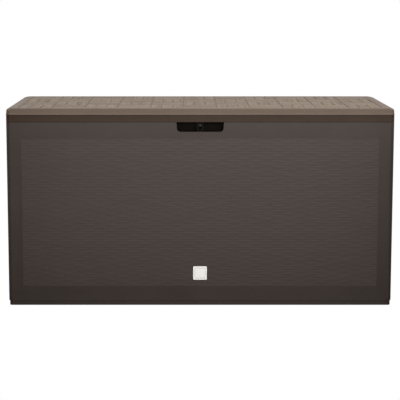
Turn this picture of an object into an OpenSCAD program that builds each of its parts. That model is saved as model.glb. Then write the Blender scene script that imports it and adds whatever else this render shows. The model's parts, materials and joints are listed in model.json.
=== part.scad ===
// Deck storage box: flat-pack resin body, two-part lid on three pin hinges, two telescopic lid stays.
// Millimetres. Origin at the middle of the footprint on the floor, +Z up, front towards -Y.

/* [Overall] */
// Width of the box and its lid, along X
box_w = 1180; // [1120:20:1300]
// Depth of the lid, along Y
lid_d = 470; // [460:5:520]
// Height from the floor to the top of the lid
box_h = 610; // [580:5:680]
// How far the lid stands out over the front and the back panel
lid_overhang = 2; // [1:0.5:3]
// Outer corner radius in plan
corner_r = 12; // [10:0.5:14]

/* [Walls] */
// Thickness of the moulded outer skins
skin_t = 4; // [3.5:0.5:5]
// Depth of a wall, skin and ribs together
wall_depth = 20; // [18:1:22]
// Thickness of a stiffening rib
rib_t = 3; // [2.5:0.5:4]
// Distance between the ribs of the long panels and of the lid
rib_pitch = 140; // [120:5:150]
// Height of the base tray
plinth_h = 15; // [12:1:20]
// How far the base tray is set in from the panels
plinth_inset = 2.5; // [1:0.5:4]

/* [Woven field] */
// Distance between the stakes of the weave
stake_pitch = 34; // [34:1:36]
// Distance between the strands of the weave
strand_pitch = 8.5; // [8:0.5:9]
// Depth of the sunk field that holds the weave
weave_depth = 1.8; // [1:0.1:2]
// Least smooth border round a woven field
weave_border = 45; // [40:1:46]

/* [Lid] */
// Height of the lid cover's edge
cover_h = 20.5; // [18:0.5:22]
// Height of the skirt under the cover
skirt_h = 22; // [20:1:26]
// Gap between the skirt and the panels when shut
lid_gap = 1; // [0.5:0.5:2]
// Radius along the cover's front and back top edges
cover_edge_r = 2.5; // [1.5:0.5:3.5]
// Depth of the sunk field that holds the boards
board_depth = 1.8; // [1:0.1:2]
// Angle to which the lid opens
lid_open = 95; // [60:5:95]

/* [Grip notch] */
// Half the width of the notch at its top
notch_half_w = 72; // [60:1:80]
// Depth of the notch below the panel's top
notch_depth = 29; // [24:1:34]
// Radius of the notch's lower corners
notch_r = 11; // [8:1:13]
// Radius of the padlock eye
eye_r = 4; // [3:0.5:4.5]

/* [Hinges and stays] */
// Radius of a hinge barrel
barrel_r = 6.5; // [6:0.5:6.5]
// Radius of a hinge pin
pin_r = 3; // [2.5:0.5:3.5]
// Distance from the middle hinge to the outer ones
hinge_spacing = 350; // [330:5:370]
// Distance from the hinge axis to either end of a stay
stay_reach = 180; // [175:1:185]
// Outer radius of a stay's tube
tube_r = 8; // [7.5:0.5:8]

/* [Hidden] */
$fn = 64;
EPS = 0.01;
// Length of a cut that runs clean out of a part
CUT = 100;

// Body: half sizes in plan, the inner face of the ribs, and the heights of the main levels
body_x = box_w / 2;
body_y = lid_d / 2 - lid_overhang;
inner_x = body_x - wall_depth;
inner_y = body_y - wall_depth;
skirt_z = box_h - cover_h - skirt_h;
cover_z = box_h - cover_h;
panel_top = skirt_z - lid_gap;
rail_h = 8;
flange_z = panel_top - rail_h - rib_t;
rib_embed = 1;
// Ribs on either side of the middle one, and the same for the ribs that cross them
rib_span = 3;
cross_span = 1;

// Neck that the skirt drops over
skirt_t = 4;
neck_clear = 1.5;
neck_t = 3;
neck_inset = skirt_t + neck_clear;
neck_h = 15;
neck_top = panel_top + neck_h;
rail_depth = neck_inset + neck_t;

// Hinge line
hinge_inset = 8;
hinge_rise = 10;
hinge_y = body_y - hinge_inset;
hinge_z = skirt_z + hinge_rise;
HINGE_X = [-hinge_spacing, 0, hinge_spacing];
knuckle_w = 20;
knuckle_gap = 0.5;
leaf_t = 4;
leaf_w = 3 * knuckle_w + 2 * knuckle_gap;
leaf_h = 53;
leaf_bottom = hinge_z - leaf_h;
leaf_clear = 1;
hinge_notch_w = leaf_w + 10 * leaf_clear;
lid_leaf_d = 30;
leaf_screw_x = 20;
LEAF_SCREW_Z = [10, 28];
riser_top = hinge_z + 8;
riser_half_w = body_x - corner_r;
pin_play = 0.05;
pin_hold = 0.02;

// Lid levels: the liner lies under the skirt's flange, the cover's ribs end above the lid leaves
flange_w = 18;
skirt_flange_t = 3.5;
skirt_flange_z = cover_z - skirt_flange_t;
liner_t = 3;
liner_z = skirt_flange_z - liner_t;
cover_rib_z = cover_z + leaf_t + 1;
lid_rib_pitch = 100;
lid_rear_gap = 12;
lid_rear_y = hinge_y - lid_rear_gap;
heel_r = 10.2;
bead = 1;
bead_h = 5;
skirt_end_y = body_y - 4;

// Ends of the cover: the flat top falls away over crown_angle, then turns down on end_r
crown_r = 60;
crown_angle = 16;
end_r = 7;
cover_half_w = box_w / 2 - bead;
cover_half_d = lid_d / 2 - bead;
end_arc_x = cover_half_w - end_r;
end_drop = crown_r - (crown_r - end_r) * cos(crown_angle);
flat_x = end_arc_x - (crown_r - end_r) * sin(crown_angle);
crown_x = flat_x + crown_r * sin(crown_angle);
// Slope across each top corner: its reach along the front, along the side, and down
CORNER_CUT = [21, 25, 11];

// Fasteners
screw_r = 2;
screw_head_r = 4;
screw_head_h = 2.4;
pilot_play = 0.05;
through_play = 0.2;
boss_r = 5;
pilot_extra = 2;
pilot_tip = 1;
rim_screw = 16;
rear_screw_y = 160;
RIM_SCREW_Y = [-150, 0, 150];
// Screws along the lid and the long walls, in rib pitches from the middle, always between two ribs
RIM_SCREWS = [-3.5, -2.5, -1.5, -0.5, 0.5, 1.5, 2.5, 3.5];
REAR_SCREWS = [-3.5, -1.5, -0.5, 0.5, 1.5, 3.5];
BASE_SCREWS = [-3.5, -2.5, -0.5, 0.5, 2.5, 3.5];
liner_screw_len = cover_z - liner_z + 11;
lid_leaf_screw_len = leaf_t + 8;
body_leaf_screw_len = leaf_t + skin_t - 0.6;
blind_tip = 0.2;

// Corner angles
angle_leg = 22;
angle_t = 3;
angle_screw = 15;
ANGLE_Z_LONG = [100, 280, 460];
ANGLE_Z_SIDE = [70, 250, 430];

// Base screws
BASE_Y = [-135, 0, 135];
base_screw_len = 12;
side_rib_y = 75;

// Grip notch, its cup, the tongue and the lug
cup_t = 2.5;
cup_flange = 6;
cup_depth = 30;
cup_top = panel_top - 1;
notch_z = panel_top - notch_depth;
notch_lean = 1;
notch_arc_x = notch_half_w - notch_r - notch_lean;
cup_front_y = -body_y + skin_t;
tongue_w = 22;
tongue_t = 4;
tongue_back = 5;
tongue_drop = 26;
eye_wall = 3;
tongue_y = cup_front_y + tongue_back;
tongue_z = skirt_z - tongue_drop;
eye_z = tongue_z + eye_r + eye_wall;
lug_gap = 0.4;
lug_y = tongue_y + tongue_t + lug_gap;
lug_t = 5;
foot_t = 3;
foot_screw_len = foot_t + 8;
tongue_foot_d = 28;
tongue_screw_x = 7;
tongue_screw_y = 20;
stud_z = eye_z + 2 * eye_r;
stud_r = 1.3;
stud_len = 2.5;
stud_head_r = 2.6;
stud_head_h = 1.2;

// Side handles
handle_half_w = 60;
handle_h = 34;
handle_r = 10;
handle_z = 467;
handle_depth = 28;
handle_hook = 14;
handle_pad_stakes = 5;
handle_pad_strands = 8;

// Stays: both ends stand at stay_reach from the hinge axis, so the strut turns by half the lid's angle
stay_x = 546;
stay_lid_angle = 3.5;
stay_body_angle = 73.5;
stay_lid_y = hinge_y - stay_reach * cos(stay_lid_angle);
stay_lid_z = hinge_z - stay_reach * sin(stay_lid_angle);
stay_body_y = hinge_y - stay_reach * cos(stay_body_angle);
stay_body_z = hinge_z - stay_reach * sin(stay_body_angle);
stay_shut = 2 * stay_reach * sin((stay_body_angle - stay_lid_angle) / 2);
stay_long = 2 * stay_reach * sin((stay_body_angle - stay_lid_angle + lid_open) / 2);
stay_tilt = atan2(stay_body_y - stay_lid_y, stay_lid_z - stay_body_z);
stay_pin_r = 4;
stay_eye_r = 8;
stay_eye_w = 10;
stay_side_gap = 0.3;
rod_r = 4;
rod_play = 0.3;
piston_r = tube_r - 1.7;
piston_t = 5;
gland_t = 6;
shut_gap = 14;
tube_len = stay_shut - stay_eye_r - shut_gap;
tube_floor = 18;
tube_floor_t = 4;
tube_wall = 1.4;
rod_len = stay_long - tube_len + gland_t + piston_t;
plate_t = 3;
stay_plate_h = 60;
stay_plate_w = 30;
stay_screw = 20;
ear_t = 4;
ear_x = stay_x + 17;
ear_screw = 14;
ear_screw_x = stay_x + 4;
ear_foot_side = 6;
pin_end = 2;
collar_r = 6.5;
cap_r = 7;
cap_t = 3.5;
cap_gap = 0.5;

// Label plate
label_size = 42;
label_r = 3;
label_proud = 0.4;
label_t = weave_depth + label_proud;
label_z = 101;

// Sunk fields: whole numbers of stakes and strands
field_x = stake_pitch * floor((box_w - 2 * weave_border) / stake_pitch) / 2;
field_y = stake_pitch * floor((2 * body_y - 2 * weave_border) / stake_pitch) / 2;
field_drop = 48;
field_strands = 54;
field_top = panel_top - field_drop;
field_bottom = field_top - strand_pitch * field_strands;
handle_pad_z = field_top - handle_pad_strands * strand_pitch;
handle_pad_w = handle_pad_stakes * stake_pitch;
board_border_x = 36;
board_border_y = 18;
board_field_x = box_w / 2 - board_border_x;
board_field_y = lid_d / 2 - board_border_y;

BROWN = [0.27, 0.245, 0.23];
MOCHA = [0.45, 0.39, 0.34];
SKIRT = [0.25, 0.21, 0.185];
BLACK = [0.06, 0.055, 0.055];
STEEL = [0.62, 0.62, 0.63];
STAY = [0.14, 0.14, 0.15];
WHITE = [0.92, 0.92, 0.91];

// ---------- shared shapes ----------

// Rectangle with round corners, centred
module round_rect(w, d, r) {
    square([w - 2 * r, d], center = true);
    square([w, d - 2 * r], center = true);
    for (sx = [-1, 1], sy = [-1, 1])
        translate([sx * (w / 2 - r), sy * (d / 2 - r)])
            circle(r);
}

// Plan of the body's outline, set in by inset and t thick
module body_ring(inset, t) {
    difference() {
        round_rect(2 * (body_x - inset), 2 * (body_y - inset), corner_r - inset);
        round_rect(2 * (body_x - inset - t), 2 * (body_y - inset - t), corner_r - inset - t);
    }
}

// The part of a plan in front of the inner face of the front wall
module front_slice() {
    intersection() {
        children();
        translate([-box_w, -box_w])
            square([2 * box_w, box_w - inner_y]);
    }
}

// The part of a plan beside the storage space, on the right
module side_slice() {
    intersection() {
        children();
        translate([0, -inner_y])
            square([box_w, 2 * inner_y]);
    }
}

// Slab with round corners in plan and a round upper edge, standing on z = 0
module soft_slab(w, d, h, r, edge_r) {
    module profile() {
        square([r, h - edge_r]);
        square([r - edge_r, h]);
        translate([r - edge_r, h - edge_r])
            intersection() {
                circle(edge_r);
                square(edge_r);
            }
    }
    translate([-w / 2 + r, -d / 2 + r, 0])
        cube([w - 2 * r, d - 2 * r, h]);
    for (turn = [0, 180]) {
        rotate([0, 0, turn])
            translate([w / 2 - r, d / 2 - r, 0])
                rotate([90, 0, 0])
                    linear_extrude(d - 2 * r)
                        profile();
        rotate([0, 0, turn])
            translate([-w / 2 + r, d / 2 - r, 0])
                rotate([90, 0, 90])
                    linear_extrude(w - 2 * r)
                        profile();
        rotate([0, 0, turn]) {
            translate([w / 2 - r, d / 2 - r, 0])
                rotate_extrude(angle = 90)
                    profile();
            translate([-w / 2 + r, d / 2 - r, 0])
                rotate([0, 0, 90])
                    rotate_extrude(angle = 90)
                        profile();
        }
    }
}

// Cylinder along X, from x
module rod_x(x, length, r) {
    translate([x, 0, 0])
        rotate([0, 90, 0])
            cylinder(h = length, r = r);
}

// Screw with its head's underside at z = 0 and its shank towards -Z
module screw(length) {
    slot_w = 1;
    slot_l = 4.4;
    slot_d = 1.2;
    difference() {
        union() {
            translate([0, 0, -length])
                cylinder(h = length + EPS, r = screw_r);
            cylinder(h = screw_head_h, r = screw_head_r);
        }
        for (turn = [0, 90])
            rotate([0, 0, turn])
                translate([-slot_l / 2, -slot_w / 2, screw_head_h - slot_d])
                    cube([slot_l, slot_w, slot_d + 1]);
    }
}

// Hole for a screw's shank, from z = 0 towards -Z
module pilot(length, play = pilot_play) {
    translate([0, 0, -length])
        cylinder(h = length + 1, r = screw_r + play);
}

// Turns +Z to point inwards, towards +Y
module face_inward_y() {
    rotate([-90, 0, 0])
        children();
}

// Turns +Z to point inwards on the right wall, towards -X
module face_inward_x() {
    rotate([0, -90, 0])
        children();
}

// ---------- screw places, each with +Z out of the material ----------

module at_long_angle_screws() {
    for (sx = [-1, 1], z = ANGLE_Z_LONG)
        translate([sx * (inner_x - angle_screw), -inner_y, z])
            face_inward_y()
                children();
}

module at_side_angle_screws() {
    for (sy = [-1, 1], z = ANGLE_Z_SIDE)
        translate([inner_x, sy * (inner_y - angle_screw), z])
            face_inward_x()
                children();
}

module at_long_base_screws() {
    for (step = BASE_SCREWS)
        translate([step * rib_pitch, -body_y + wall_depth / 2 + 1, plinth_h + rib_t])
            children();
}

module at_side_base_screws() {
    for (y = BASE_Y)
        translate([body_x - wall_depth / 2 - 1, y, plinth_h + rib_t])
            children();
}

module at_stay_mount_screws() {
    for (sz = [-1, 1])
        translate([inner_x, stay_body_y, stay_body_z + sz * stay_screw])
            face_inward_x()
                children();
}

module at_body_leaf_screws(x) {
    for (sx = [-1, 1], z = LEAF_SCREW_Z)
        translate([x + sx * leaf_screw_x, hinge_y, leaf_bottom + z])
            rotate([90, 0, 0])
                children();
}

module at_lid_leaf_screws(x) {
    for (sx = [-1, 1])
        translate([x + sx * leaf_screw_x, lid_rear_y - lid_leaf_d / 2, cover_z])
            rotate([180, 0, 0])
                children();
}

// Screws through the liner and the skirt's flange, along the front and the sides
module at_rim_screws() {
    for (step = RIM_SCREWS)
        translate([step * rib_pitch, -body_y + rim_screw, liner_z])
            rotate([180, 0, 0])
                children();
    for (sx = [-1, 1], y = RIM_SCREW_Y)
        translate([sx * (body_x - rim_screw), y, liner_z])
            rotate([180, 0, 0])
                children();
}

// Screws through the liner only, along its rear edge and clear of the hinge leaves
module at_rear_screws() {
    for (step = REAR_SCREWS)
        translate([step * rib_pitch, rear_screw_y, liner_z])
            rotate([180, 0, 0])
                children();
}

module at_liner_screws() {
    at_rim_screws()
        children();
    at_rear_screws()
        children();
}

module at_tongue_screws() {
    for (sx = [-1, 1])
        translate([sx * tongue_screw_x, tongue_y + tongue_screw_y, liner_z - foot_t])
            rotate([180, 0, 0])
                children();
}

module at_tongue_stud() {
    translate([0, tongue_y, stud_z])
        rotate([90, 0, 0])
            children();
}

module at_ear_screws() {
    for (sy = [-1, 1])
        translate([ear_screw_x, stay_lid_y + sy * ear_screw, liner_z - foot_t])
            rotate([180, 0, 0])
                children();
}

// ---------- panels ----------

// Cylindrical boss behind a screw on an inner face, from the skin out
module wall_boss() {
    translate([0, 0, -wall_depth + skin_t - rib_embed])
        cylinder(h = wall_depth - skin_t + rib_embed, r = boss_r);
}

// Long wall in the front position, without its top details
module long_wall() {
    linear_extrude(panel_top - plinth_h)
        front_slice()
            body_ring(0, skin_t);
    translate([0, 0, panel_top - plinth_h - rail_h])
        linear_extrude(rail_h)
            front_slice()
                body_ring(0, rail_depth);
}

// Ribs and flanges of the long wall in the front position, at their real height
module long_ribs() {
    rib_y = -body_y + skin_t - rib_embed;
    rib_d = wall_depth - skin_t + rib_embed;
    end_x = inner_x - angle_screw;
    rib_xs = [for (i = [-rib_span:rib_span]) i * rib_pitch, -end_x, end_x];
    for (x = rib_xs)
        translate([x - rib_t / 2, rib_y, plinth_h])
            cube([rib_t, rib_d, flange_z - plinth_h + EPS]);
    for (z = [plinth_h, (plinth_h + flange_z) / 2, flange_z])
        translate([-inner_x, rib_y, z])
            cube([2 * inner_x, rib_d, rib_t]);
    at_long_angle_screws()
        wall_boss();
}

// Front position: the wall with its ribs, screw holes and sunk field
module long_panel() {
    difference() {
        union() {
            translate([0, 0, plinth_h])
                long_wall();
            long_ribs();
        }
        translate([-field_x, -body_y - 1, field_bottom])
            cube([2 * field_x, 1 + weave_depth, field_top - field_bottom]);
        at_long_angle_screws()
            pilot(angle_screw - angle_t + pilot_extra);
        at_long_base_screws()
            pilot(rib_t + 1, through_play);
    }
}

// Outline of the grip notch, grown by g: upright sides that lean in, round lower corners
module notch_outline(g) {
    rise = panel_top - (notch_z + notch_r);
    run = notch_half_w - notch_arc_x;
    lean = atan2(rise, run) - acos(notch_r / norm([run, rise]));
    steps = 8;
    arc = [for (i = [0:steps]) -90 + (lean + 90) * i / steps];
    r = notch_r + g;
    right = [for (a = arc) [notch_arc_x + r * cos(a), notch_z + notch_r + r * sin(a)]];
    corner = [notch_half_w + g / cos(lean), panel_top];
    slope = [sin(lean), -cos(lean)];
    lift = wall_depth;
    top = [corner[0] - slope[0] * lift / cos(lean), panel_top + lift];
    left = [for (i = [steps:-1:0]) [-right[i][0], right[i][1]]];
    polygon(concat(right, [top, [-top[0], top[1]]], left));
}

// Prism of the notch outline along Y
module notch_prism(g, y, depth) {
    translate([0, y + depth, 0])
        rotate([90, 0, 0])
            linear_extrude(depth)
                notch_outline(g);
}

module front_panel() {
    cup_edge = cup_t + cup_flange + 1;
    color(BROWN)
        difference() {
            union() {
                long_panel();
                translate([0, 0, panel_top - EPS])
                    linear_extrude(neck_top - panel_top + EPS)
                        front_slice()
                            body_ring(neck_inset, neck_t);
            }
            notch_prism(0, -body_y - 1, wall_depth + 10);
            translate([-notch_half_w - cup_edge, cup_front_y, notch_z - cup_edge])
                cube([2 * (notch_half_w + cup_edge), wall_depth, CUT]);
        }
}

module back_panel() {
    color(BROWN)
        mirror([0, 1, 0])
            difference() {
                union() {
                    long_panel();
                    translate([-riser_half_w, -body_y, panel_top - 1])
                        cube([2 * riser_half_w, skin_t, riser_top - panel_top + 1]);
                }
                for (x = HINGE_X) {
                    translate([x - hinge_notch_w / 2, -body_y - 1, panel_top])
                        cube([hinge_notch_w, wall_depth, CUT]);
                    translate([x - leaf_w / 2 - leaf_clear, -body_y + skin_t, leaf_bottom - 2 * leaf_clear])
                        cube([leaf_w + 2 * leaf_clear, wall_depth, CUT]);
                }
                for (x = HINGE_X)
                    mirror([0, 1, 0])
                        at_body_leaf_screws(x)
                            pilot(body_leaf_screw_len + blind_tip);
            }
}

// Right wall: skin, rail, neck, ribs, flanges and bosses
module side_solid() {
    rib_d = wall_depth - skin_t + rib_embed;
    translate([0, 0, plinth_h])
        linear_extrude(panel_top - plinth_h)
            side_slice()
                body_ring(0, skin_t);
    translate([0, 0, panel_top - rail_h])
        linear_extrude(rail_h)
            side_slice()
                body_ring(0, rail_depth);
    translate([0, 0, panel_top - EPS])
        linear_extrude(neck_top - panel_top + EPS)
            side_slice()
                body_ring(neck_inset, neck_t);
    rib_ys = [-inner_y + rib_t / 2, -inner_y + angle_screw, -side_rib_y, side_rib_y,
              stay_body_y, inner_y - angle_screw, inner_y - rib_t / 2];
    for (y = rib_ys)
        translate([inner_x, y - rib_t / 2, plinth_h])
            cube([rib_d, rib_t, flange_z - plinth_h + EPS]);
    for (z = [plinth_h, (plinth_h + flange_z) / 2, flange_z])
        translate([inner_x, -inner_y, z])
            cube([rib_d, 2 * inner_y, rib_t]);
    at_side_angle_screws()
        wall_boss();
    at_stay_mount_screws()
        wall_boss();
}

// Rounded upright opening of a side handle, as a prism along X
module handle_prism(x, depth, grow, hook) {
    translate([x, 0, handle_z + (handle_h + hook) / 2])
        rotate([90, 0, 90])
            linear_extrude(depth)
                round_rect(2 * (handle_half_w + grow), handle_h + hook + 2 * grow, handle_r + grow);
}

module right_panel() {
    cup_clear = cup_t + cup_flange + 0.5;
    color(BROWN)
        difference() {
            side_solid();
            difference() {
                translate([body_x - weave_depth, -field_y, field_bottom])
                    cube([weave_depth + 1, 2 * field_y, field_top - field_bottom]);
                translate([body_x - weave_depth - 1, -handle_pad_w / 2, handle_pad_z])
                    cube([weave_depth + 3, handle_pad_w, field_top - handle_pad_z + 1]);
            }
            handle_prism(body_x - skin_t - 1, skin_t + 2, 0, 0);
            handle_prism(inner_x - 1, wall_depth - skin_t + 1, cup_clear, handle_hook);
            at_side_angle_screws()
                pilot(angle_screw - angle_t + pilot_extra);
            at_stay_mount_screws()
                pilot(angle_screw - angle_t + pilot_extra);
            at_side_base_screws()
                pilot(rib_t + 1, through_play);
        }
}

module left_panel() {
    mirror([1, 0, 0])
        right_panel();
}

// Corner angle inside the corner towards sx and sy, between the walls' lowest and highest flanges
module corner_angle(sx, sy) {
    height = flange_z - plinth_h - 2 * rib_t;
    base_z = plinth_h + 2 * rib_t;
    color(BROWN)
        mirror([sx < 0 ? 1 : 0, 0, 0])
            mirror([0, sy > 0 ? 1 : 0, 0])
                difference() {
                    translate([0, 0, base_z])
                        linear_extrude(height)
                            union() {
                                translate([inner_x - angle_leg, -inner_y])
                                    square([angle_leg, angle_t]);
                                translate([inner_x - angle_t, -inner_y])
                                    square([angle_t, angle_leg]);
                            }
                    at_long_angle_screws()
                        translate([0, 0, angle_t])
                            pilot(angle_t + 1, through_play);
                    at_side_angle_screws()
                        translate([0, 0, angle_t])
                            pilot(angle_t + 1, through_play);
                }
}

// ---------- base ----------

module base_tray() {
    half_x = body_x - plinth_inset;
    half_y = body_y - plinth_inset;
    floor_t = 4;
    wall_t = 5;
    r = corner_r - plinth_inset;
    tray_rib_pitch = 90;
    module at_all_base_screws() {
        for (my = [0, 1])
            mirror([0, my, 0])
                at_long_base_screws()
                    children();
        for (mx = [0, 1])
            mirror([mx, 0, 0])
                at_side_base_screws()
                    children();
    }
    color(BROWN)
        difference() {
            union() {
                translate([0, 0, plinth_h - floor_t])
                    linear_extrude(floor_t)
                        round_rect(2 * half_x, 2 * half_y, r);
                linear_extrude(plinth_h - 1)
                    difference() {
                        round_rect(2 * half_x, 2 * half_y, r);
                        round_rect(2 * (half_x - wall_t), 2 * (half_y - wall_t), r - wall_t);
                    }
                for (i = [-rib_span:rib_span])
                    translate([i * rib_pitch - rib_t / 2, -half_y + 1, 0])
                        cube([rib_t, 2 * half_y - 2, plinth_h - 1]);
                for (i = [-cross_span:cross_span])
                    translate([-half_x + 1, i * tray_rib_pitch - rib_t / 2, 0])
                        cube([2 * half_x - 2, rib_t, plinth_h - 1]);
                at_all_base_screws()
                    translate([0, 0, -base_screw_len - rib_t])
                        cylinder(h = base_screw_len, r = boss_r);
            }
            at_all_base_screws()
                pilot(base_screw_len + pilot_tip);
        }
}

// ---------- grip and lock ----------

module grip_cup() {
    flange_t = 2;
    color(BLACK)
        difference() {
            union() {
                notch_prism(cup_t, cup_front_y, cup_depth - skin_t);
                notch_prism(cup_t + cup_flange, cup_front_y, flange_t);
            }
            notch_prism(0, cup_front_y - 1, cup_depth - skin_t - cup_t + 1);
            translate([-CUT, cup_front_y - 1, cup_top])
                cube([2 * CUT, cup_depth, CUT]);
        }
}

// Plate with a round end and an eye, standing along Z in the plane Y = y
module eye_plate(y, t, z_end, up) {
    reach = tongue_w / 2;
    translate([0, y + t, 0])
        rotate([90, 0, 0])
            linear_extrude(t)
                difference() {
                    union() {
                        translate([-reach, up ? eye_z : z_end])
                            square([tongue_w, abs(z_end - eye_z)]);
                        translate([0, eye_z])
                            intersection() {
                                circle(reach);
                                translate([-reach, up ? tongue_z - eye_z : -reach])
                                    square([tongue_w, 2 * reach]);
                            }
                    }
                    translate([0, eye_z])
                        circle(eye_r);
                }
}

module lock_tongue() {
    color(STAY)
        difference() {
            union() {
                eye_plate(tongue_y, tongue_t, liner_z, true);
                translate([-tongue_w / 2, tongue_y, liner_z - foot_t])
                    cube([tongue_w, tongue_foot_d, foot_t]);
            }
            at_tongue_screws()
                pilot(foot_t + 1, through_play);
            at_tongue_stud()
                translate([0, 0, -stud_len - blind_tip])
                    cylinder(h = stud_len + 1, r = stud_r + pilot_play);
        }
}

// Bright stud in the tongue's face, over the eye
module tongue_stud() {
    color(STEEL)
        at_tongue_stud() {
            translate([0, 0, -stud_len])
                cylinder(h = stud_len + EPS, r = stud_r);
            cylinder(h = stud_head_h, r = stud_head_r);
        }
}

module lock_lug() {
    gusset_t = 4;
    gusset_d = 10;
    gusset_h = 16;
    color(BLACK)
        union() {
            eye_plate(lug_y, lug_t, notch_z, false);
            for (sx = [-1, 1])
                translate([sx * (tongue_w - gusset_t) / 2 + gusset_t / 2, lug_y + lug_t, notch_z])
                    rotate([90, 0, -90])
                        linear_extrude(gusset_t)
                            polygon([[1, 0], [-gusset_d + 1, 0], [0, gusset_h], [1, gusset_h]]);
        }
}

// ---------- side handles ----------

module right_handle_cup() {
    skin_x = body_x - skin_t;
    back_x = body_x - handle_depth - cup_t;
    flange_t = 2;
    color(BLACK)
        difference() {
            union() {
                handle_prism(back_x, skin_x - back_x, cup_t, handle_hook);
                handle_prism(skin_x - flange_t, flange_t, cup_t + cup_flange, handle_hook);
            }
            handle_prism(back_x + cup_t, handle_depth, 0, handle_hook);
        }
}

module left_handle_cup() {
    mirror([1, 0, 0])
        right_handle_cup();
}

// ---------- hinges ----------

module body_hinge(x) {
    color(BLACK)
        difference() {
            union() {
                translate([x - leaf_w / 2, hinge_y, leaf_bottom])
                    cube([leaf_w, leaf_t, panel_top - 1 - leaf_bottom]);
                for (sx = [-1, 1])
                    translate([x + sx * (knuckle_w + knuckle_gap), hinge_y, 0]) {
                        translate([-knuckle_w / 2, 0, leaf_bottom])
                            cube([knuckle_w, leaf_t, hinge_z - leaf_bottom]);
                        translate([0, 0, hinge_z])
                            rod_x(-knuckle_w / 2, knuckle_w, barrel_r);
                    }
            }
            translate([x, hinge_y, hinge_z])
                rod_x(-leaf_w, 2 * leaf_w, pin_r + pin_hold);
            at_body_leaf_screws(x)
                pilot(leaf_t + 1, through_play);
        }
}

module lid_hinge(x) {
    arm_top = cover_z + leaf_t;
    color(BLACK)
        difference() {
            union() {
                translate([x, hinge_y, hinge_z])
                    rod_x(-knuckle_w / 2, knuckle_w, barrel_r);
                translate([x - knuckle_w / 2, hinge_y - leaf_t, hinge_z])
                    cube([knuckle_w, 2 * leaf_t, arm_top - hinge_z]);
                translate([x - leaf_w / 2, lid_rear_y - lid_leaf_d, cover_z])
                    cube([leaf_w, lid_leaf_d + lid_rear_gap + leaf_t, leaf_t]);
            }
            translate([x, hinge_y, hinge_z])
                rod_x(-leaf_w, 2 * leaf_w, pin_r + pin_play);
            at_lid_leaf_screws(x)
                pilot(leaf_t + 1, through_play);
        }
}

module hinge_pin(x) {
    head_t = 2;
    head_r = 4.5;
    color(STEEL)
        translate([x, hinge_y, hinge_z]) {
            rod_x(-leaf_w / 2 - EPS, leaf_w + 2, pin_r);
            rod_x(-leaf_w / 2 - head_t, head_t, head_r);
        }
}

// ---------- lid ----------

// Outline of the cover from the front: a flat top that falls away in two arcs at each end
module end_outline() {
    end_z = cover_h - end_drop;
    translate([-flat_x, 0])
        square([2 * flat_x, cover_h]);
    translate([-cover_half_w, 0])
        square([2 * cover_half_w, end_z]);
    for (side = [0, 1])
        mirror([side, 0]) {
            intersection() {
                translate([flat_x, cover_h - crown_r])
                    circle(crown_r);
                translate([flat_x, 0])
                    square([crown_x - flat_x, cover_h]);
            }
            intersection() {
                translate([end_arc_x, end_z])
                    circle(end_r);
                translate([crown_x, end_z])
                    square(end_r);
            }
        }
}

// Outline of the cover from the side: upright front and back with small round edges
module edge_outline() {
    translate([-cover_half_d, 0])
        square([2 * cover_half_d, cover_h - cover_edge_r]);
    translate([-cover_half_d + cover_edge_r, 0])
        square([2 * (cover_half_d - cover_edge_r), cover_h]);
    for (side = [-1, 1])
        translate([side * (cover_half_d - cover_edge_r), cover_h - cover_edge_r])
            circle(cover_edge_r);
}

// Hollow of the cover seen from the front, at least skin_t inside its outline
module hollow_outline() {
    side_x = cover_half_w - skin_t;
    side_z = cover_h - end_drop - skin_t / 2;
    half = [[side_x, -1], [side_x, side_z], [flat_x - skin_t, cover_h - skin_t]];
    polygon(concat(half, [for (i = [2:-1:0]) [-half[i][0], half[i][1]]]));
}

// Block that cuts the slope across the left front corner, whose tip is at the origin
module corner_cutter() {
    reach = 60;
    out = [-1 / CORNER_CUT[0], -1 / CORNER_CUT[1], 1 / CORNER_CUT[2]];
    translate([CORNER_CUT[0], 0, 0])
        rotate(a = acos(out[2] / norm(out)), v = [-out[1], out[0], 0])
            translate([-reach, -reach, 0])
                cube([2 * reach, 2 * reach, reach]);
}

// Block of the cover: its plan, cut to its outlines from the front and from the side
module cover_block() {
    intersection() {
        linear_extrude(cover_h)
            round_rect(2 * cover_half_w, 2 * cover_half_d, corner_r);
        translate([0, lid_d, 0])
            rotate([90, 0, 0])
                linear_extrude(2 * lid_d)
                    end_outline();
        translate([-box_w, 0, 0])
            rotate([90, 0, 90])
                linear_extrude(2 * box_w)
                    edge_outline();
    }
}

// Shell of the cover with a bead along its lower edge
module cover_shell() {
    translate([0, 0, cover_z])
        difference() {
            union() {
                difference() {
                    cover_block();
                    for (mx = [0, 1], my = [0, 1])
                        mirror([mx, 0, 0])
                            mirror([0, my, 0])
                                translate([-cover_half_w, -cover_half_d, cover_h])
                                    corner_cutter();
                }
                soft_slab(box_w, lid_d, bead_h, corner_r + bead, bead);
            }
            intersection() {
                translate([0, 0, -1])
                    linear_extrude(cover_h)
                        round_rect(2 * (cover_half_w - skin_t), 2 * (cover_half_d - skin_t),
                                   corner_r - skin_t);
                translate([0, lid_d, 0])
                    rotate([90, 0, 0])
                        linear_extrude(2 * lid_d)
                            hollow_outline();
            }
            translate([-board_field_x, -board_field_y, cover_h - board_depth])
                cube([2 * board_field_x, 2 * board_field_y, board_depth + 1]);
        }
}

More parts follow.
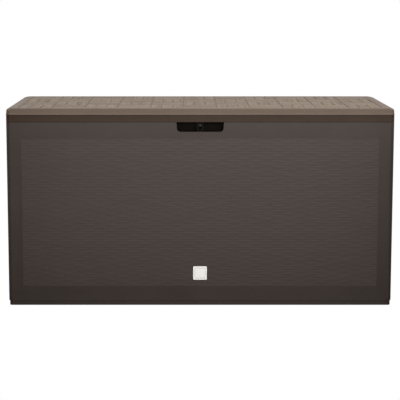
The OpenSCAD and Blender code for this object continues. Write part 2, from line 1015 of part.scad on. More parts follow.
module lid_cover() {
    top_z = box_h - skin_t;
    reach_x = crown_x - skin_t / 2;
    reach_y = cover_half_d - skin_t / 2;
    // Boss under the cover's top, down to level z, over a screw that comes up from below
    module cover_boss(z, screw_z) {
        translate([0, 0, -(top_z - screw_z) - EPS])
            cylinder(h = top_z - z + EPS, r = boss_r);
    }
    color(MOCHA)
        difference() {
            union() {
                cover_shell();
                for (i = [-rib_span:rib_span])
                    translate([i * rib_pitch - rib_t / 2, -reach_y, cover_rib_z])
                        cube([rib_t, 2 * reach_y, top_z - cover_rib_z + EPS]);
                for (i = [-cross_span:cross_span])
                    translate([-reach_x, i * lid_rib_pitch - rib_t / 2, cover_rib_z])
                        cube([2 * reach_x, rib_t, top_z - cover_rib_z + EPS]);
                at_rim_screws()
                    cover_boss(cover_z, liner_z);
                at_rear_screws()
                    cover_boss(skirt_flange_z, liner_z);
                for (x = HINGE_X)
                    at_lid_leaf_screws(x)
                        cover_boss(cover_z + leaf_t, cover_z);
            }
            at_liner_screws()
                pilot(liner_screw_len + pilot_tip);
            for (x = HINGE_X)
                at_lid_leaf_screws(x)
                    pilot(lid_leaf_screw_len + pilot_tip);
        }
}

module lid_skirt() {
    color(SKIRT)
        difference() {
            union() {
                translate([0, 0, skirt_z])
                    linear_extrude(cover_z - skirt_z)
                        difference() {
                            body_ring(0, skirt_t);
                            translate([-box_w, skirt_end_y])
                                square([2 * box_w, CUT]);
                        }
                translate([0, 0, skirt_flange_z])
                    linear_extrude(cover_z - skirt_flange_z)
                        difference() {
                            round_rect(2 * (body_x - 1), 2 * (body_y - 1), corner_r - 1);
                            translate([-body_x + flange_w + skirt_t, -body_y + flange_w + skirt_t])
                                square([2 * (body_x - flange_w - skirt_t), 2 * body_y]);
                            translate([-box_w, lid_rear_y])
                                square([2 * box_w, CUT]);
                        }
            }
            difference() {
                translate([-box_w, hinge_y, skirt_z - 1])
                    cube([2 * box_w, CUT, hinge_z - skirt_z + 1]);
                translate([0, hinge_y, hinge_z])
                    rod_x(-box_w - 1, 2 * box_w + 2, heel_r);
            }
            at_liner_screws()
                pilot(cover_z - liner_z + 1, through_play);
        }
}

module lid_liner() {
    half_x = body_x - 10;
    front_y = -body_y + skirt_t + 2;
    rib_rear = lid_rear_y - 1.5 * lid_leaf_d;
    rib_half_x = body_x - flange_w - skirt_t - 1;
    rib_front = -body_y + flange_w + skirt_t + 1;
    color(MOCHA)
        difference() {
            union() {
                translate([-half_x, front_y, liner_z])
                    cube([2 * half_x, lid_rear_y - front_y, liner_t]);
                for (i = [-rib_span:rib_span])
                    translate([i * rib_pitch - rib_t / 2, rib_front, liner_z + 1])
                        cube([rib_t, rib_rear - rib_front, cover_rib_z - liner_z - 1]);
                for (i = [-cross_span:cross_span])
                    translate([-rib_half_x, i * lid_rib_pitch - rib_t / 2, liner_z + 1])
                        cube([2 * rib_half_x, rib_t, cover_rib_z - liner_z - 1]);
                for (mx = [0, 1])
                    mirror([mx, 0, 0])
                        at_ear_screws()
                            liner_boss();
                at_tongue_screws()
                    liner_boss();
            }
            at_liner_screws()
                pilot(liner_t + 1, through_play);
            for (mx = [0, 1])
                mirror([mx, 0, 0])
                    at_ear_screws()
                        pilot(foot_screw_len + pilot_tip);
            at_tongue_screws()
                pilot(foot_screw_len + pilot_tip);
        }
}

// Boss on the liner's upper face, over a screw that comes up through a fitting's foot
module liner_boss() {
    translate([0, 0, -foot_t - (cover_rib_z - liner_z) + 0.5])
        cylinder(h = cover_rib_z - liner_z - 1.5, r = boss_r);
}

// ---------- lid stays, right-hand side ----------

// Pin of a stay from its plate inwards, with a collar that spaces the eye
module stay_pin(plate_x) {
    collar_x = stay_x + stay_eye_w / 2 + stay_side_gap;
    end_x = stay_x - stay_eye_w / 2 - pin_end;
    rod_x(collar_x, plate_x - collar_x + 1, collar_r);
    rod_x(end_x, plate_x - end_x + 1, stay_pin_r);
}

// Push-on cap over a pin's end
module stay_cap() {
    cap_x = stay_x - stay_eye_w / 2 - cap_gap - cap_t;
    difference() {
        rod_x(cap_x, cap_t, cap_r);
        rod_x(stay_x - stay_eye_w / 2 - pin_end, stay_eye_w, stay_pin_r + pin_hold);
    }
}

module stay_mount_right() {
    plate_x = inner_x - plate_t;
    color(STAY)
        difference() {
            translate([0, stay_body_y, stay_body_z]) {
                translate([plate_x, -stay_plate_w / 2, -stay_plate_h / 2])
                    cube([plate_t, stay_plate_w, stay_plate_h]);
                stay_pin(plate_x);
            }
            at_stay_mount_screws()
                translate([0, 0, plate_t])
                    pilot(plate_t + 1, through_play);
        }
}

module stay_ear_right() {
    foot_l = 2 * (ear_screw + 2 * screw_head_r);
    color(STAY)
        difference() {
            union() {
                translate([ear_x, stay_lid_y - stay_eye_r, stay_lid_z])
                    cube([ear_t, 2 * stay_eye_r, liner_z - stay_lid_z]);
                translate([0, stay_lid_y, stay_lid_z]) {
                    rod_x(ear_x, ear_t, stay_eye_r);
                    stay_pin(ear_x);
                }
                translate([stay_x - ear_foot_side, stay_lid_y - foot_l / 2, liner_z - foot_t])
                    cube([ear_x + ear_t - stay_x + ear_foot_side, foot_l, foot_t]);
            }
            at_ear_screws()
                pilot(foot_t + 1, through_play);
        }
}

module stay_tube_right() {
    neck_r = stay_eye_w / 2 - 0.3;
    eye_clear = stay_eye_r - 2;
    outer_z = tube_floor - tube_floor_t;
    color(STAY)
        translate([0, stay_body_y, stay_body_z])
            rotate([stay_tilt, 0, 0])
                difference() {
                    union() {
                        rod_x(stay_x - stay_eye_w / 2, stay_eye_w, stay_eye_r);
                        translate([stay_x, 0, eye_clear])
                            cylinder(h = outer_z - eye_clear + 1, r = neck_r);
                        translate([stay_x, 0, outer_z])
                            cylinder(h = tube_len - outer_z, r = tube_r);
                    }
                    rod_x(stay_x - stay_eye_w, 2 * stay_eye_w, stay_pin_r + pin_play);
                    translate([stay_x, 0, tube_floor])
                        cylinder(h = tube_len - gland_t - tube_floor, r = tube_r - tube_wall);
                    translate([stay_x, 0, tube_len - gland_t - 1])
                        cylinder(h = gland_t + 2, r = rod_r + rod_play);
                }
}

module stay_rod_right() {
    eye_clear = stay_eye_r - 2;
    color(STEEL)
        translate([0, stay_lid_y, stay_lid_z])
            rotate([180 + stay_tilt, 0, 0])
                difference() {
                    union() {
                        rod_x(stay_x - stay_eye_w / 2, stay_eye_w, stay_eye_r);
                        translate([stay_x, 0, eye_clear])
                            cylinder(h = rod_len - eye_clear, r = rod_r);
                        translate([stay_x, 0, rod_len - piston_t])
                            cylinder(h = piston_t, r = piston_r);
                    }
                    rod_x(stay_x - stay_eye_w, 2 * stay_eye_w, stay_pin_r + pin_play);
                }
}

module stay_caps_body() {
    color(BLACK)
        for (mx = [0, 1])
            mirror([mx, 0, 0])
                translate([0, stay_body_y, stay_body_z])
                    stay_cap();
}

module stay_caps_lid() {
    color(BLACK)
        for (mx = [0, 1])
            mirror([mx, 0, 0])
                translate([0, stay_lid_y, stay_lid_z])
                    stay_cap();
}

module on_the_left() {
    mirror([1, 0, 0])
        children();
}

// ---------- small parts ----------

module label_plate() {
    color(WHITE)
        translate([0, -body_y + weave_depth, label_z])
            rotate([90, 0, 0])
                linear_extrude(label_t)
                    round_rect(label_size, label_size, label_r);
}

module corner_screws() {
    color(STEEL) {
        for (my = [0, 1])
            mirror([0, my, 0])
                at_long_angle_screws()
                    translate([0, 0, angle_t])
                        screw(angle_screw);
        for (mx = [0, 1])
            mirror([mx, 0, 0])
                at_side_angle_screws()
                    translate([0, 0, angle_t])
                        screw(angle_screw);
    }
}

module base_screws() {
    color(STEEL) {
        for (my = [0, 1])
            mirror([0, my, 0])
                at_long_base_screws()
                    screw(base_screw_len);
        for (mx = [0, 1])
            mirror([mx, 0, 0])
                at_side_base_screws()
                    screw(base_screw_len);
    }
}

module body_hinge_screws() {
    color(STEEL)
        for (x = HINGE_X)
            at_body_leaf_screws(x)
                screw(body_leaf_screw_len);
}

module stay_mount_screws() {
    color(STEEL)
        for (mx = [0, 1])
            mirror([mx, 0, 0])
                at_stay_mount_screws()
                    translate([0, 0, plate_t])
                        screw(angle_screw);
}

module lid_hinge_screws() {
    color(STEEL)
        for (x = HINGE_X)
            at_lid_leaf_screws(x)
                screw(lid_leaf_screw_len);
}

module liner_screws() {
    color(STEEL)
        at_liner_screws()
            screw(liner_screw_len);
}

module lid_fitting_screws() {
    color(STEEL) {
        for (mx = [0, 1])
            mirror([mx, 0, 0])
                at_ear_screws()
                    screw(foot_screw_len);
        at_tongue_screws()
            screw(foot_screw_len);
    }
}

base_tray();
front_panel();
back_panel();
left_panel();
right_panel();
corner_angle(-1, -1);  // corner_angle_front_left
corner_angle(1, -1);  // corner_angle_front_right
corner_angle(-1, 1);  // corner_angle_back_left
corner_angle(1, 1);  // corner_angle_back_right
grip_cup();
lock_lug();
left_handle_cup();
right_handle_cup();
body_hinge(HINGE_X[0]);  // body_hinge_left
body_hinge(HINGE_X[1]);  // body_hinge_centre
body_hinge(HINGE_X[2]);  // body_hinge_right
hinge_pin(HINGE_X[0]);  // hinge_pin_left
hinge_pin(HINGE_X[1]);  // hinge_pin_centre
hinge_pin(HINGE_X[2]);  // hinge_pin_right
on_the_left() stay_mount_right();  // stay_mount_left
stay_mount_right();
stay_caps_body();
label_plate();
corner_screws();
base_screws();
body_hinge_screws();
stay_mount_screws();
lid_cover();
lid_skirt();
lid_liner();
lid_hinge(HINGE_X[0]);  // lid_hinge_left
lid_hinge(HINGE_X[1]);  // lid_hinge_centre
lid_hinge(HINGE_X[2]);  // lid_hinge_right
lock_tongue();
tongue_stud();
on_the_left() stay_ear_right();  // stay_ear_left
stay_ear_right();
stay_caps_lid();
lid_hinge_screws();
liner_screws();
lid_fitting_screws();
on_the_left() stay_tube_right();  // stay_tube_left
stay_tube_right();
on_the_left() stay_rod_right();  // stay_rod_left
stay_rod_right();
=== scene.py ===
"""Looks of the deck storage box: moulded relief, materials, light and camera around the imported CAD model."""
import json
import math
import random

import bpy
import numpy as np
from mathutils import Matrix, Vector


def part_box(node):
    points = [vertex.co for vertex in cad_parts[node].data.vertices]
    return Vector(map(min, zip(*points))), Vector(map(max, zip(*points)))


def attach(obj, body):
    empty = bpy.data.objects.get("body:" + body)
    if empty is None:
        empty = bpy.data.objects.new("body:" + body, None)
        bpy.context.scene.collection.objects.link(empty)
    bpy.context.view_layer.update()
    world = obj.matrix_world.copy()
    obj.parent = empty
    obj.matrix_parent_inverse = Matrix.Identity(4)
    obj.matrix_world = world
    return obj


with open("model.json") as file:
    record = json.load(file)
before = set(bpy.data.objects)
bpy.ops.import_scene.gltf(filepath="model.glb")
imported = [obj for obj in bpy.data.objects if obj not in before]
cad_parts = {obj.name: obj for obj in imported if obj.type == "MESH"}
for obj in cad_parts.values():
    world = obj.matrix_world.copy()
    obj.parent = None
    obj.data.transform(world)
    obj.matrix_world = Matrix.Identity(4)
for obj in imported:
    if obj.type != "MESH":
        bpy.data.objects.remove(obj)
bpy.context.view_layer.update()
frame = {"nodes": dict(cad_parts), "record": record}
nodes = frame["nodes"]
rng = random.Random(7)

MM = 0.001

# The woven fields: upright stakes STAKE apart and level strands STRAND apart, in a recess WEAVE_DEPTH deep
STAKE = 34 * MM
STAKE_W = 11 * MM
STRAND = 8.5 * MM
WEAVE_DEPTH = 1.8 * MM
WEAVE_BORDER = 45 * MM
FIELD_DROP = 48 * MM
FIELD_ROWS = 54

# Heights over the recess's floor of the gaps, and of a strand behind and in front of a stake.
# STAKE_RISE is a stake's height over the gaps, and STRAND_SQUARE flattens a strand's round section.
GAP_HIGH = 1.0 * MM
STRAND_LOW = 1.07 * MM
STRAND_HIGH = 1.2 * MM
STAKE_RISE = 0.1 * MM
STRAND_SQUARE = 4

# The lid's boards: blocks of slats in a recess BOARD_DEPTH deep, their tops BOARD_SUNK below the lid's top
BOARD_DEPTH = 1.8 * MM
BOARD_SUNK = 0.15 * MM
BOARD_CROWN = 0.1 * MM
BOARD_BLOCKS = (11, 4)
SLATS = 3
BOARD_GAP = 2.2 * MM
BOARD_BEVEL = 0.8 * MM
BOARD_BORDER_X = 36 * MM
BOARD_BORDER_Y = 18 * MM

# The handle's smooth pad, in stakes across and in rows below the side field's top
HANDLE_PAD_STAKES = 5
HANDLE_PAD_ROWS = 8

# The label plate's printed frame
LABEL_MARGIN = 5 * MM
LABEL_LINE = 0.9 * MM
LABEL_THICK = 0.06 * MM

# The round along the sharp edges of moulded pieces
EDGE_ROUND = 0.6 * MM
EDGE_ANGLE = math.radians(40)

# Brightness of the surroundings as light
SURROUND = 0.76

# Lights: place, aim, size in metres and power in watts
OVERHEAD_LIGHT = ((0.1, -0.5, 2.0), (0, 0, 0.5), (2.0, 0.8), 26.7)
FRONT_LIGHT = ((0.5, -3.2, 1.5), (0, 0, 0.42), (1.6, 1.0), 49.5)

# Black cards that stand beside the front
CARD_GAP = 0.05
CARD_NEAR = 0.02
CARD_FAR = 0.35
CARD_HEIGHTS = {"card_left": 0.75, "card_right": 0.56}

FLOOR_REACH = 12.0

# The camera: its lens and sensor in millimetres, its shift, place and downward pitch
LENS = 120.16
SENSOR = 36
SHIFT = (0.0376, -0.06)
CAMERA_PLACE = (-0.0463, -4.2647, 0.9565)
CAMERA_PITCH = math.radians(7.824)

front_lo, front_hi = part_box("front_panel")
back_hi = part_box("back_panel")[1]
side_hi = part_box("right_panel")[1]
lid_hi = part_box("lid_cover")[1]
skirt_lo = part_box("lid_skirt")[0]

# The skirt hangs SKIRT_GAP above the panels' rim
SKIRT_GAP = 1 * MM
PANEL_TOP = skirt_lo.z - SKIRT_GAP
FIELD_TOP = PANEL_TOP - FIELD_DROP
FIELD_BOTTOM = FIELD_TOP - FIELD_ROWS * STRAND
HANDLE_PAD_HALF = HANDLE_PAD_STAKES * STAKE / 2
HANDLE_PAD_Z = FIELD_TOP - HANDLE_PAD_ROWS * STRAND
FIELD_COLUMNS_X = math.floor((front_hi.x - front_lo.x - 2 * WEAVE_BORDER) / STAKE)
FIELD_COLUMNS_Y = math.floor((back_hi.y - front_lo.y - 2 * WEAVE_BORDER) / STAKE)


# ---------- shader helpers ----------

def new_material(name):
    """An empty node material with its output and one Principled shader."""
    material = bpy.data.materials.new(name)
    material.use_nodes = True
    tree = material.node_tree
    tree.nodes.clear()
    output = tree.nodes.new("ShaderNodeOutputMaterial")
    shader = tree.nodes.new("ShaderNodeBsdfPrincipled")
    tree.links.new(shader.outputs["BSDF"], output.inputs["Surface"])
    return material, tree, shader


def add(tree, kind, **values):
    """A node with its properties and input values set."""
    node = tree.nodes.new(kind)
    for key, value in values.items():
        if hasattr(node, key):
            setattr(node, key, value)
        else:
            node.inputs[key.replace("_", " ")].default_value = value
    return node


def object_coords(tree, scale=(1, 1, 1)):
    """The object's own coordinates in metres, stretched by scale."""
    coords = tree.nodes.new("ShaderNodeTexCoord")
    mapping = tree.nodes.new("ShaderNodeMapping")
    mapping.inputs["Scale"].default_value = scale
    tree.links.new(coords.outputs["Object"], mapping.inputs["Vector"])
    return mapping.outputs["Vector"]


def noise(tree, vector, scale, detail=3.0, rough=0.55):
    """Noise over a vector."""
    node = add(tree, "ShaderNodeTexNoise", Scale=scale, Detail=detail, Roughness=rough)
    tree.links.new(vector, node.inputs["Vector"])
    return node.outputs["Fac"]


def remap(tree, value, low, high, out_low, out_high):
    """Value moved from one range to another, clamped."""
    node = add(tree, "ShaderNodeMapRange")
    node.inputs["From Min"].default_value = low
    node.inputs["From Max"].default_value = high
    node.inputs["To Min"].default_value = out_low
    node.inputs["To Max"].default_value = out_high
    tree.links.new(value, node.inputs["Value"])
    return node.outputs["Result"]


def spread(tree, value, low, high):
    """The range that most of a noise covers, moved to low and high."""
    return remap(tree, value, 0.3, 0.7, low, high)


def mixed(tree, factor, first, second):
    """Two colours mixed; a colour is a tuple or a socket, and the factor is a number or a socket."""
    node = tree.nodes.new("ShaderNodeMix")
    node.data_type = "RGBA"
    for socket, value in ((node.inputs[0], factor), (node.inputs[6], first), (node.inputs[7], second)):
        if isinstance(value, bpy.types.NodeSocket):
            tree.links.new(value, socket)
        elif isinstance(value, tuple):
            socket.default_value = (*value, 1)
        else:
            socket.default_value = value
    return node.outputs[2]


def bump(tree, shader, height, strength, distance, under=None):
    """A bump on the shader's normal, over an earlier bump if there is one."""
    node = add(tree, "ShaderNodeBump", Strength=strength, Distance=distance)
    tree.links.new(height, node.inputs["Height"])
    if under is not None:
        tree.links.new(under, node.inputs["Normal"])
    tree.links.new(node.outputs["Normal"], shader.inputs["Normal"])
    return node.outputs["Normal"]


def attribute(tree, name):
    """A value that the mesh code stored on a piece."""
    node = tree.nodes.new("ShaderNodeAttribute")
    node.attribute_name = name
    return node


def edge_wear(tree, amount):
    """Rises to amount along the sharp outer edges."""
    geometry = tree.nodes.new("ShaderNodeNewGeometry")
    return remap(tree, geometry.outputs["Pointiness"], 0.51, 0.6, 0.0, amount)


# ---------- materials ----------

def resin(name, dark, light, roughness, grain=0.12, wear=0.12, gloss=0.25):
    """Moulded resin: cloudy colour, fine pitted grain, rubbed edges."""
    material, tree, shader = new_material(name)
    coords = object_coords(tree)
    clouds = noise(tree, coords, 7.0, detail=4.0)
    colour = mixed(tree, spread(tree, clouds, 0.0, 1.0), dark, light)
    specks = noise(tree, coords, 900.0, detail=2.0)
    colour = mixed(tree, remap(tree, specks, 0.35, 0.75, 0.0, 0.35), colour, light)
    pale = tuple(min(1.0, c * 1.7 + 0.01) for c in light)
    colour = mixed(tree, edge_wear(tree, wear), colour, pale)
    tree.links.new(colour, shader.inputs["Base Color"])
    scuffs = noise(tree, object_coords(tree, (1, 1, 3)), 24.0, detail=5.0)
    rough = spread(tree, scuffs, roughness - 0.06, roughness + 0.07)
    tree.links.new(rough, shader.inputs["Roughness"])
    shader.inputs["Specular IOR Level"].default_value = gloss
    bump(tree, shader, specks, grain, 0.0006)
    return material


def woven_resin(name, dark, light, roughness):
    """The moulded weave: fine fibres along it, and each strand a little different in tone."""
    material, tree, shader = new_material(name)
    strand = attribute(tree, "strand").outputs["Fac"]
    colour = mixed(tree, strand, dark, light)
    coords = object_coords(tree)
    clouds = noise(tree, coords, 6.0, detail=4.0)
    colour = mixed(tree, remap(tree, clouds, 0.35, 0.7, 0.0, 0.25), colour, light)
    tree.links.new(colour, shader.inputs["Base Color"])
    fibres = noise(tree, object_coords(tree, (60, 60, 900)), 1.0, detail=3.0)
    rough = spread(tree, fibres, roughness - 0.07, roughness + 0.08)
    tree.links.new(rough, shader.inputs["Roughness"])
    shader.inputs["Specular IOR Level"].default_value = 0.25
    bump(tree, shader, fibres, 0.25, 0.0005)
    return material


def board_resin(name, dark, light, roughness):
    """The lid's boards: streaks of grain along each slat and a tone of its own."""
    material, tree, shader = new_material(name)
    along = attribute(tree, "grain").outputs["Vector"]
    tone = attribute(tree, "tone").outputs["Fac"]
    streaks = noise(tree, along, 1.0, detail=6.0, rough=0.62)
    figure = noise(tree, along, 0.22, detail=2.0)
    colour = mixed(tree, spread(tree, figure, 0.0, 1.0), dark, light)
    grain_line = tuple(c * 0.5 for c in dark)
    colour = mixed(tree, remap(tree, streaks, 0.5, 0.72, 0.0, 0.7), colour, grain_line)
    colour = mixed(tree, remap(tree, tone, 0.0, 1.0, 0.0, 0.5), colour, light)
    tree.links.new(colour, shader.inputs["Base Color"])
    rough = spread(tree, streaks, roughness - 0.05, roughness + 0.08)
    tree.links.new(rough, shader.inputs["Roughness"])
    shader.inputs["Specular IOR Level"].default_value = 0.22
    first = bump(tree, shader, streaks, 0.35, 0.0008)
    specks = noise(tree, object_coords(tree), 900.0, detail=2.0)
    bump(tree, shader, specks, 0.08, 0.0005, under=first)
    return material


def metal(name, colour, roughness, metallic=1.0, brush=(1, 1, 1), gloss=0.5):
    """Steel or coated steel with fine scratches."""
    material, tree, shader = new_material(name)
    scratches = noise(tree, object_coords(tree, brush), 500.0, detail=4.0)
    dull = tuple(c * 0.8 for c in colour)
    tree.links.new(mixed(tree, scratches, dull, colour), shader.inputs["Base Color"])
    rough = spread(tree, scratches, roughness - 0.08, roughness + 0.1)
    tree.links.new(rough, shader.inputs["Roughness"])
    shader.inputs["Metallic"].default_value = metallic
    shader.inputs["Specular IOR Level"].default_value = gloss
    bump(tree, shader, scratches, 0.05, 0.0003)
    return material


body_brown = resin("body_brown", (0.0355, 0.0252, 0.0204), (0.0422, 0.0312, 0.0258), 0.5)
# The skirt's colour is its own dark brown, set darker and warmer than the body's as painted shade under the
# lid's edge.
skirt_brown = resin("skirt_brown", (0.0268, 0.0134, 0.0058), (0.0315, 0.0157, 0.007), 0.52)
# The weave's colour is the same moulded plastic as the body's, set lighter: painted light that the raised
# weave catches from above.
weave_lit_brown = woven_resin("weave_lit_brown", (0.050, 0.0366, 0.0308), (0.0533, 0.0397, 0.0329), 0.5)
lid_mocha = resin("lid_mocha", (0.103, 0.072, 0.051), (0.119, 0.085, 0.061), 0.5)
board_mocha = board_resin("board_mocha", (0.080, 0.054, 0.035), (0.164, 0.119, 0.081), 0.5)
# On the lock lug inside the lid's notch, this near-black stands in for the shade in the notch: painted shade.
black_plastic = resin("black_plastic", (0.0045, 0.0025, 0.0012), (0.0065, 0.0035, 0.0018), 0.6, gloss=0.05)
dark_steel = metal("dark_steel", (0.004, 0.0035, 0.003), 0.6, metallic=0.0, gloss=0.08)
chrome_rod = metal("chrome_rod", (0.62, 0.62, 0.63), 0.16, brush=(1, 1, 0.05))
zinc_steel = metal("zinc_steel", (0.5, 0.5, 0.51), 0.38)
stud_steel = metal("stud_steel", (0.06, 0.057, 0.053), 0.5)
label_white = resin("label_white", (0.93, 0.89, 0.85), (0.96, 0.93, 0.89),
                    0.3, grain=0.02, wear=0.0, gloss=0.5)
label_grey = resin("label_grey", (0.3, 0.3, 0.3), (0.36, 0.36, 0.36), 0.4, grain=0.03, wear=0.0)

SLOT_MATERIALS = {
    "body_brown": body_brown,
    "skirt_brown": skirt_brown,
    "lid_mocha": lid_mocha,
    "black_plastic": black_plastic,
    "dark_steel": dark_steel,
    "chrome_rod": chrome_rod,
    "zinc_steel": zinc_steel,
    "label_white": label_white,
}

# A node whose look differs from the rest of its slot
NODE_MATERIALS = {"tongue_stud": stud_steel}

# The slots of large mouldings, whose edges are rounded
MOULDED_SLOTS = ("body_brown", "skirt_brown", "lid_mocha")


# ---------- CAD nodes ----------

def soften(node):
    """A small round along the sharp edges of a moulded piece."""
    bevel = node.modifiers.new("soft_edges", "BEVEL")
    bevel.width = EDGE_ROUND
    bevel.segments = 2
    bevel.limit_method = "ANGLE"
    bevel.angle_limit = EDGE_ANGLE


def dress_cad_nodes():
    """Gives every CAD node its slot's material or the look of its own in NODE_MATERIALS, and the large
    mouldings soft edges.
    """
    slots = {row["node"]: row["material_slot"] for row in frame["record"]["subparts"]}
    for name, node in nodes.items():
        material = NODE_MATERIALS.get(name, SLOT_MATERIALS[slots[name]])
        node.data.materials.clear()
        node.data.materials.append(material)
        if slots[name] in MOULDED_SLOTS:
            soften(node)


# ---------- pieces made here ----------

def mesh_piece(name, points, quads, material, body, values=None):
    """A mesh object from arrays of points and faces, with point values, riding on a body."""
    mesh = bpy.data.meshes.new(name)
    mesh.from_pydata([tuple(p) for p in points], [], [tuple(q) for q in quads])
    for key, data in (values or {}).items():
        data = np.asarray(data, np.float32)
        if data.ndim == 1:
            layer = mesh.attributes.new(key, "FLOAT", "POINT")
            layer.data.foreach_set("value", data)
        else:
            layer = mesh.attributes.new(key, "FLOAT_VECTOR", "POINT")
            layer.data.foreach_set("vector", data.ravel())
    mesh.materials.append(material)
    mesh.polygons.foreach_set("use_smooth", [True] * len(mesh.polygons))
    piece = bpy.data.objects.new(name, mesh)
    bpy.context.scene.collection.objects.link(piece)
    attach(piece, body)
    return piece


def weave_height(u, v):
    """Relief at u stakes and v strands from the field's corner: strands pass over and under the stakes."""
    row = np.floor(v)
    across = 2 * (v - row) - 1
    over = np.cos(math.pi * (u + row))
    crest = STRAND_LOW + (STRAND_HIGH - STRAND_LOW) * (0.5 + 0.5 * over)
    strand = (crest - GAP_HIGH) * np.sqrt(np.clip(1 - across ** STRAND_SQUARE, 0, 1))
    beside = (u - np.round(u)) * STAKE / (STAKE_W / 2)
    stake = STAKE_RISE * np.sqrt(np.clip(1 - beside ** 2, 0, 1))
    return GAP_HIGH + np.maximum(strand, stake)


def weave_panel(name, columns, to_place, steps, skip=None):
    """A moulded weave some columns of stakes wide; to_place turns (across, height, up) into a place."""
    width = columns * STAKE
    across_steps, up_steps = steps
    us = np.linspace(0, columns, columns * across_steps + 1)
    # Points crowd towards each strand's edges, so that its round section shows
    turn = np.linspace(0, math.pi, up_steps + 1)[:-1]
    in_row = 0.5 - 0.5 * np.cos(turn)
    vs = np.concatenate([r + in_row for r in range(FIELD_ROWS)] + [[FIELD_ROWS]])
    u, v = np.meshgrid(us, vs)
    row = np.minimum(np.floor(v), FIELD_ROWS - 1)
    height = weave_height(u, v)
    across = u * STAKE - width / 2
    up = FIELD_BOTTOM + v * STRAND
    points = to_place(across.ravel(), height.ravel(), up.ravel())
    n = len(us)
    cell = np.arange(len(vs) - 1)[:, None] * n + np.arange(n - 1)[None, :]
    if skip is not None:
        middle_across = (across[:-1, :-1] + across[1:, 1:]) / 2
        middle_up = (up[:-1, :-1] + up[1:, 1:]) / 2
        cell = cell[~skip(middle_across, middle_up)]
    cell = cell.ravel()
    quads = np.stack([cell, cell + 1, cell + n + 1, cell + n], 1)
    tones = np.random.default_rng(11).random((FIELD_ROWS, columns + 1))
    strand_tone = tones[row.astype(int), np.clip(((u + row % 2) // 2).astype(int), 0, columns)]
    values = {"strand": strand_tone.ravel()}
    return mesh_piece(name, points, quads, weave_lit_brown, "box", values)


def make_weaves():
    """The weave on all four walls, each in its sunk field."""
    front_floor = front_lo.y + WEAVE_DEPTH
    back_floor = back_hi.y - WEAVE_DEPTH
    side_floor = side_hi.x - WEAVE_DEPTH

    def on_front(a, h, z):
        return np.stack([a, front_floor - h, z], 1)

    def on_back(a, h, z):
        return np.stack([-a, back_floor + h, z], 1)

    def on_right(a, h, z):
        return np.stack([side_floor + h, a, z], 1)

    def on_left(a, h, z):
        return np.stack([-side_floor - h, -a, z], 1)

    def on_handle_pad(a, z):
        return (np.abs(a) < HANDLE_PAD_HALF) & (z > HANDLE_PAD_Z)

    weave_panel("weave_front", FIELD_COLUMNS_X, on_front, (10, 5))
    weave_panel("weave_back", FIELD_COLUMNS_X, on_back, (8, 4))
    weave_panel("weave_right", FIELD_COLUMNS_Y, on_right, (8, 4), on_handle_pad)
    weave_panel("weave_left", FIELD_COLUMNS_Y, on_left, (8, 4), on_handle_pad)


def slat_rows(block_lo, block_hi, lengthwise):
    """The boxes of a block's slats, side by side."""
    (x0, y0), (x1, y1) = block_lo, block_hi
    for i in range(SLATS):
        if lengthwise:
            w = (x1 - x0) / SLATS
            yield (x0 + i * w, y0), (x0 + (i + 1) * w, y1)
        else:
            w = (y1 - y0) / SLATS
            yield (x0, y0 + i * w), (x1, y0 + (i + 1) * w)


def make_boards():
    """Blocks of slats on the lid, turned by a right angle from block to block."""
    half_x = lid_hi.x - BOARD_BORDER_X
    half_y = lid_hi.y - BOARD_BORDER_Y
    floor_z = lid_hi.z - BOARD_DEPTH
    top_z = lid_hi.z - BOARD_SUNK
    columns, rows = BOARD_BLOCKS
    points, quads, grain, tone = [], [], [], []
    for column in range(columns):
        for row in range(rows):
            lo = (-half_x + 2 * half_x * column / columns, -half_y + 2 * half_y * row / rows)
            hi = (-half_x + 2 * half_x * (column + 1) / columns, -half_y + 2 * half_y * (row + 1) / rows)
            lengthwise = (column + row) % 2 == 0
            for slat_lo, slat_hi in slat_rows(lo, hi, lengthwise):
                add_slat(points, quads, grain, tone, slat_lo, slat_hi, lengthwise, floor_z, top_z)
    values = {"grain": np.array(grain), "tone": np.array(tone)}
    mesh_piece("lid_boards", points, quads, board_mocha, "lid", values)


def add_slat(points, quads, grain, tone, lo, hi, lengthwise, floor_z, top_z):
    """One slat: upright sides, a bevel and a faintly crowned top."""
    gap = BOARD_GAP / 2
    x0, y0, x1, y1 = lo[0] + gap, lo[1] + gap, hi[0] - gap, hi[1] - gap
    b = BOARD_BEVEL
    rings = [
        (0.0, floor_z),
        (0.0, top_z - b),
        (0.35 * b, top_z - 0.35 * b),
        (b, top_z),
        (2.5 * b, top_z + BOARD_CROWN),
    ]
    base = len(points)
    shade = rng.random()
    shift = rng.random() * 50
    for inset, z in rings:
        for x, y in ((x0 + inset, y0 + inset), (x1 - inset, y0 + inset),
                     (x1 - inset, y1 - inset), (x0 + inset, y1 - inset)):
            points.append((x, y, z))
            along, across = (y, x) if lengthwise else (x, y)
            grain.append((along * 14 + shift, across * 260 + shift, 0.0))
            tone.append(shade)
    for ring in range(len(rings) - 1):
        for i in range(4):
            j = (i + 1) % 4
            a = base + 4 * ring
            quads.append((a + i, a + j, a + 4 + j, a + 4 + i))
    last = base + 4 * (len(rings) - 1)
    quads.append((last, last + 1, last + 2, last + 3))


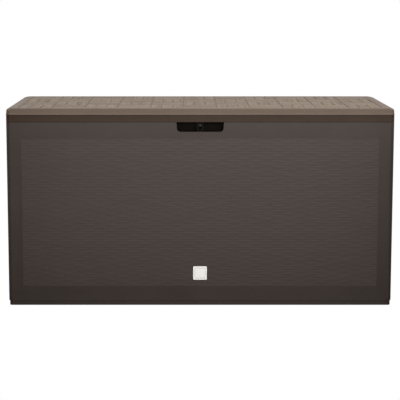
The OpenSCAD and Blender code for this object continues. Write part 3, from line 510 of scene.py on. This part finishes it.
def make_label_frame():
    """A thin printed-looking line inside the plate's edge, in place of any mark."""
    lo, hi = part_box("label_plate")
    left, right = lo.x + LABEL_MARGIN, hi.x - LABEL_MARGIN
    bottom, top = lo.z + LABEL_MARGIN, hi.z - LABEL_MARGIN
    line = LABEL_LINE
    strips = (
        (left, bottom, right, bottom + line),
        (left, top - line, right, top),
        (left, bottom + line, left + line, top - line),
        (right - line, bottom + line, right, top - line),
    )
    faces = ((0, 3, 2, 1), (4, 5, 6, 7), (0, 1, 5, 4), (1, 2, 6, 5), (2, 3, 7, 6), (3, 0, 4, 7))
    points, quads = [], []
    for x0, z0, x1, z1 in strips:
        base = len(points)
        for y in (lo.y, lo.y - LABEL_THICK):
            points += [(x0, y, z0), (x1, y, z0), (x1, y, z1), (x0, y, z1)]
        quads += [tuple(base + i for i in face) for face in faces]
    piece = mesh_piece("label_frame", points, quads, label_grey, "box")
    piece.data.polygons.foreach_set("use_smooth", [False] * len(piece.data.polygons))


# ---------- stage ----------

def area_light(name, place, aim, size, power):
    """A soft rectangular light at a place, pointed at aim."""
    data = bpy.data.lights.new(name, "AREA")
    data.shape = "RECTANGLE"
    data.size, data.size_y = size
    data.energy = power
    light = bpy.data.objects.new(name, data)
    bpy.context.scene.collection.objects.link(light)
    light.location = place
    direction = [a - p for a, p in zip(aim, place)]
    light.rotation_euler = Vector(direction).to_track_quat("-Z", "Y").to_euler()


def card(name, corners, material):
    """A flat stage piece through four corners; it throws shade, but the camera doesn't see it."""
    mesh = bpy.data.meshes.new(name)
    mesh.from_pydata(corners, [], [(0, 1, 2, 3)])
    mesh.materials.append(material)
    piece = bpy.data.objects.new(name, mesh)
    bpy.context.scene.collection.objects.link(piece)
    piece.visible_camera = False
    return piece


def floor_material():
    """White to the camera; to light bouncing onto the box it is pale further out and dark near the box, a
    painted shadow of the box on the floor.
    """
    material, tree, shader = new_material("floor_white")
    coords = object_coords(tree, (0.6, 1, 1))
    distance = add(tree, "ShaderNodeVectorMath", operation="LENGTH")
    tree.links.new(coords, distance.inputs[0])
    # Dark within about half a metre of the box: a painted shadow of the box on the floor, seen only by light
    # bouncing onto the box.
    pale = remap(tree, distance.outputs["Value"], 0.5, 1.6, 0.0, 1.0)
    tint = noise(tree, coords, 0.8)
    far = mixed(tree, tint, (0.7, 0.7, 0.7), (0.75, 0.75, 0.75))
    tree.links.new(mixed(tree, pale, (0.03, 0.03, 0.03), far), shader.inputs["Base Color"])
    shader.inputs["Roughness"].default_value = 0.8
    shader.inputs["Specular IOR Level"].default_value = 0.0
    glow = add(tree, "ShaderNodeEmission", Color=(1, 1, 1, 1), Strength=1.0)
    rays = tree.nodes.new("ShaderNodeLightPath")
    chosen = tree.nodes.new("ShaderNodeMixShader")
    tree.links.new(rays.outputs["Is Camera Ray"], chosen.inputs[0])
    tree.links.new(shader.outputs["BSDF"], chosen.inputs[1])
    tree.links.new(glow.outputs["Emission"], chosen.inputs[2])
    tree.links.new(chosen.outputs["Shader"], tree.nodes["Material Output"].inputs["Surface"])
    return material


def make_world():
    """Surroundings that the camera sees white and that light the box softly."""
    world = bpy.data.worlds.new("studio")
    bpy.context.scene.world = world
    world.use_nodes = True
    tree = world.node_tree
    tree.nodes.clear()
    rays = tree.nodes.new("ShaderNodeLightPath")
    soft = add(tree, "ShaderNodeBackground", Color=(1, 1, 1, 1), Strength=SURROUND)
    white = add(tree, "ShaderNodeBackground", Color=(1, 1, 1, 1), Strength=1.0)
    chosen = tree.nodes.new("ShaderNodeMixShader")
    output = tree.nodes.new("ShaderNodeOutputWorld")
    tree.links.new(rays.outputs["Is Camera Ray"], chosen.inputs[0])
    tree.links.new(soft.outputs["Background"], chosen.inputs[1])
    tree.links.new(white.outputs["Background"], chosen.inputs[2])
    tree.links.new(chosen.outputs["Shader"], output.inputs["Surface"])


def make_stage():
    """Floor, surroundings, two soft lights, and black cards that shade the ends of the front."""
    reach = FLOOR_REACH
    floor_corners = [(-reach, -reach, 0), (reach, -reach, 0), (reach, reach, 0), (-reach, reach, 0)]
    floor = card("floor", floor_corners, floor_material())
    floor.visible_camera = True
    black, _, shader = new_material("card_black")
    shader.inputs["Base Color"].default_value = (0.01, 0.01, 0.01, 1)
    shader.inputs["Roughness"].default_value = 1.0
    for side, name in ((-1, "card_left"), (1, "card_right")):
        height = CARD_HEIGHTS[name]
        x = side * (front_hi.x + CARD_GAP)
        near, far = front_lo.y - CARD_NEAR, front_lo.y - CARD_FAR
        card(name, [(x, near, 0), (x, far, 0), (x, far, height), (x, near, height)], black)
    make_world()
    area_light("overhead", *OVERHEAD_LIGHT)
    area_light("front", *FRONT_LIGHT)


def make_camera():
    """The camera of the product shot: far in front, a little above the lid, aimed slightly down."""
    data = bpy.data.cameras.new("camera")
    data.lens = LENS
    data.sensor_width = SENSOR
    data.shift_x, data.shift_y = SHIFT
    data.clip_end = 50
    camera = bpy.data.objects.new("camera", data)
    bpy.context.scene.collection.objects.link(camera)
    camera.location = CAMERA_PLACE
    camera.rotation_euler = (math.pi / 2 - CAMERA_PITCH, 0, 0)
    bpy.context.scene.camera = camera


dress_cad_nodes()
make_weaves()
make_boards()
make_label_frame()
make_stage()
make_camera()
bpy.context.scene.view_settings.view_transform = "Standard"
